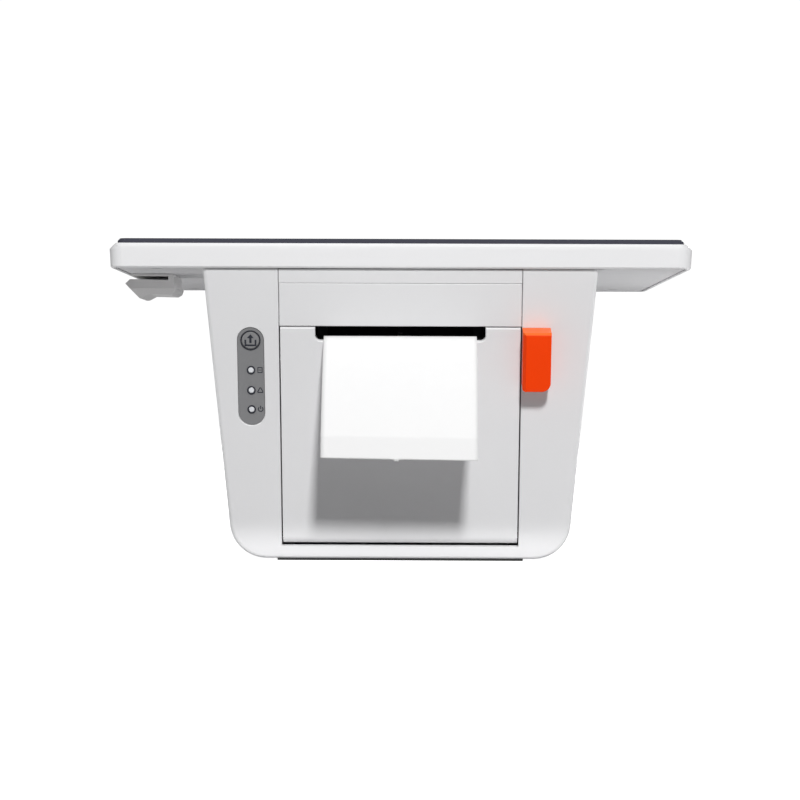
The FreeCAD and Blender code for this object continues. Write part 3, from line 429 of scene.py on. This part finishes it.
def make_receipt():
    at, length = natural_spline(RECEIPT)
    line = [at(length * i / 90) for i in range(91)]
    for i in range(1, 15):
        k = i / 14
        line.append([RECEIPT[-1][0] + (FOLD_END[0] - RECEIPT[-1][0]) * k,
                     RECEIPT[-1][1] + (FOLD_END[1] - RECEIPT[-1][1]) * k])
    total = sum(math.dist(a, b) for a, b in zip(line, line[1:]))
    cols = [-PAPER_HW + 2 * PAPER_HW * i / 32 for i in range(33)]
    cols = sorted(set([c for c in cols if not -3.4 < c < 0.4] + [-2.7, -0.3]))
    bm = bmesh.new()
    rows = []
    run = 0.0
    for j, (o, z) in enumerate(line):
        if j:
            run += math.dist(line[j - 1], line[j])
        k = max(0.0, (run - 14.0) / (total - 14.0))
        row = []
        for x in cols:
            f = x / PAPER_HW
            # the loose part cups a hair across its width and hangs a little askew
            dy = -0.28 * k * (f * f - 0.35) + 0.10 * k * f
            dz = -0.55 * k * k * f
            row.append(bm.verts.new(Vector((x, YF + RECEIPT_D - o - dy, z + dz)) * MM))
        rows.append(row)
    # the stub of the cut's middle bridge on the loose end
    i0, i1 = cols.index(-2.7), cols.index(-0.3)
    d = Vector((0, -(FOLD_END[0] - RECEIPT[-1][0]), FOLD_END[1] - RECEIPT[-1][1])).normalized() * 0.0009
    stub = [bm.verts.new(rows[-1][i].co + d) for i in range(i0, i1 + 1)]
    for a, b in zip(rows, rows[1:]):
        for i in range(len(cols) - 1):
            bm.faces.new((a[i], a[i + 1], b[i + 1], b[i]))
    for n, i in enumerate(range(i0, i1)):
        bm.faces.new((rows[-1][i], rows[-1][i + 1], stub[n + 1], stub[n]))
    bmesh.ops.recalc_face_normals(bm, faces=bm.faces)
    bmesh.ops.solidify(bm, geom=bm.faces[:], thickness=0.00011)
    obj = new_object("receipt_sheet", bm, PAPER, "door")
    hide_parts("paper_strip")
    return obj


make_receipt()


def flat_piece(name, polys, w, thick, body, material):
    """Thin printed or inlaid shapes on the printer's face: polygons in (x, v), standing thick proud of w."""
    bm = bmesh.new()
    seen = {}

    def vert(x, v):
        key = (round(x, 4), round(v, 4))
        if key not in seen:
            seen[key] = bm.verts.new(loc(x, w, v))
        return seen[key]

    faces = [bm.faces.new([vert(*p) for p in poly]) for poly in polys]
    out = bmesh.ops.extrude_face_region(bm, geom=faces)
    move = loc(0, w - thick, 0) - loc(0, w, 0)
    bmesh.ops.translate(bm, vec=move, verts=[g for g in out["geom"] if isinstance(g, bmesh.types.BMVert)])
    return new_object(name, bm, material, body, smooth=False)


def arc(cx, cv, r0, r1, a0, a1, n):
    """Quads of a band between two radii."""
    p = []
    for i in range(n):
        a, b = (math.radians(a0 + (a1 - a0) * k / n) for k in (i, i + 1))
        p.append([(cx + r0 * math.cos(a), cv + r0 * math.sin(a)), (cx + r1 * math.cos(a), cv + r1 * math.sin(a)),
                  (cx + r1 * math.cos(b), cv + r1 * math.sin(b)), (cx + r0 * math.cos(b), cv + r0 * math.sin(b))])
    return p


def bar(x0, v0, x1, v1, t):
    d = Vector((x1 - x0, v1 - v0))
    n = Vector((-d.y, d.x)).normalized() * (t / 2)
    return [(x0 + n.x, v0 + n.y), (x0 - n.x, v0 - n.y), (x1 - n.x, v1 - n.y), (x1 + n.x, v1 + n.y)]


def make_signs():
    """Plain pictograms: a sheet with an arrow on the button, and one sign beside each lens."""
    v = 113.6
    x = PAD_X
    feed = [bar(x - 3.1, v - 2.7, x + 3.1, v - 2.7, 0.95), bar(x - 2.65, v - 2.225, x - 2.65, v + 0.3, 0.9),
            bar(x + 2.65, v - 2.225, x + 2.65, v + 0.3, 0.9), bar(x, v - 1.5, x, v + 1.2, 1.15),
            [(x - 1.8, v + 1.2), (x + 1.8, v + 1.2), (x, v + 3.3)]]
    flat_piece("feed_sign", feed, 0.35, 0.03, "button", RING)
    sx = PAD_X + 4.7
    signs = arc(sx, 76.0, 1.0, 1.5, 125, 415, 22) + [bar(sx, 76.1, sx, 77.9, 0.5)]
    signs += [bar(sx - 1.5, 85.2, sx + 1.5, 85.2, 0.5), bar(sx - 1.4, 85.45, sx - 0.12, 87.9, 0.5),
              bar(sx + 1.4, 85.45, sx + 0.12, 87.9, 0.5)]
    signs += [bar(sx - 1.1, 95.8, sx - 1.1, 99.0, 0.46), bar(sx + 1.1, 95.8, sx + 1.1, 99.0, 0.46),
              bar(sx - 0.87, 98.77, sx + 0.87, 98.77, 0.46), bar(sx - 0.87, 96.03, sx + 0.87, 96.03, 0.46),
              bar(sx - 0.5, 97.4, sx + 0.5, 97.4, 0.4)]
    flat_piece("lamp_signs", signs, 0.7, 0.03, "base", RING)


make_signs()


# ------------------------------------------------------------------ light and floor
def make_stage():
    scene = bpy.context.scene
    scene.view_settings.view_transform = "Standard"
    scene.view_settings.look = "None"
    world = bpy.data.worlds.new("studio")
    scene.world = world
    world.use_nodes = True
    t = world.node_tree
    t.nodes.clear()
    out = t.nodes.new("ShaderNodeOutputWorld")
    mix = t.nodes.new("ShaderNodeMixShader")
    path = t.nodes.new("ShaderNodeLightPath")
    dim, bright = t.nodes.new("ShaderNodeBackground"), t.nodes.new("ShaderNodeBackground")
    dim.inputs["Color"].default_value = (1.0, 1.0, 1.0, 1)
    dim.inputs["Strength"].default_value = 0.10
    bright.inputs["Color"].default_value = (1, 1, 1, 1)
    bright.inputs["Strength"].default_value = 1.05
    t.links.new(path.outputs["Is Camera Ray"], mix.inputs[0])
    t.links.new(dim.outputs[0], mix.inputs[1])
    t.links.new(bright.outputs[0], mix.inputs[2])
    t.links.new(mix.outputs[0], out.inputs[0])

    def lamp(name, at, aim, size, watts, color=(1, 1, 1), spread=180.0):
        light = bpy.data.lights.new(name, "AREA")
        light.shape, light.size, light.size_y = "RECTANGLE", size[0], size[1]
        light.energy, light.color, light.spread = watts, color, math.radians(spread)
        obj = bpy.data.objects.new(name, light)
        scene.collection.objects.link(obj)
        obj.location = at
        obj.rotation_euler = (Vector(aim) - Vector(at)).to_track_quat("-Z", "Y").to_euler()
        obj.visible_camera = False

    aim = Vector((0, -0.085, 0.075))
    el, az = math.radians(29.5), math.radians(5.6)
    away = Vector((math.sin(az) * math.cos(el), -math.cos(az) * math.cos(el), math.sin(el)))
    lamp("key", aim + away * 3.5, aim, (0.27, 0.42), 101.0)
    lamp("top", Vector((0, -0.50, 1.60)), aim, (0.5, 0.5), 4.0)
    lamp("back", Vector((0.7, 2.6, 1.25)), Vector((0, 0.08, 0.10)), (0.8, 0.8), 34.0)
    lamp("foot", Vector((0, -0.091, 0.006)), Vector((0, -0.061, 0.005)), (0.26, 0.006), 0.0044, spread=64)
    lamp("kick_right", Vector((0.25, 0.0, 0.004)), Vector((0.12, -0.03, 0.154)), (0.20, 0.25), 0.47)
    lamp("kick_left", Vector((-0.27, 0.0, 0.004)), Vector((-0.13, -0.03, 0.154)), (0.20, 0.25), 0.31)

    bm = bmesh.new()
    bmesh.ops.create_grid(bm, x_segments=2, y_segments=2, size=6.0)
    me = bpy.data.meshes.new("floor")
    bm.to_mesh(me)
    bm.free()
    floor = bpy.data.objects.new("floor", me)
    scene.collection.objects.link(floor)
    m = bpy.data.materials.new("pale_floor")
    m.use_nodes = True
    t = m.node_tree
    t.nodes.clear()
    out = t.nodes.new("ShaderNodeOutputMaterial")
    pale, seen = t.nodes.new("ShaderNodeBsdfDiffuse"), t.nodes.new("ShaderNodeBsdfDiffuse")
    glow, add, mix = t.nodes.new("ShaderNodeEmission"), t.nodes.new("ShaderNodeAddShader"), t.nodes.new("ShaderNodeMixShader")
    path = t.nodes.new("ShaderNodeLightPath")
    pale.inputs["Color"].default_value = (0.43, 0.43, 0.435, 1)
    seen.inputs["Color"].default_value = (0.80, 0.80, 0.80, 1)
    glow.inputs["Strength"].default_value = 0.97
    t.links.new(seen.outputs[0], add.inputs[0])
    t.links.new(glow.outputs[0], add.inputs[1])
    t.links.new(path.outputs["Is Camera Ray"], mix.inputs[0])
    t.links.new(pale.outputs[0], mix.inputs[1])
    t.links.new(add.outputs[0], mix.inputs[2])
    t.links.new(mix.outputs[0], out.inputs[0])
    me.materials.append(m)


make_stage()
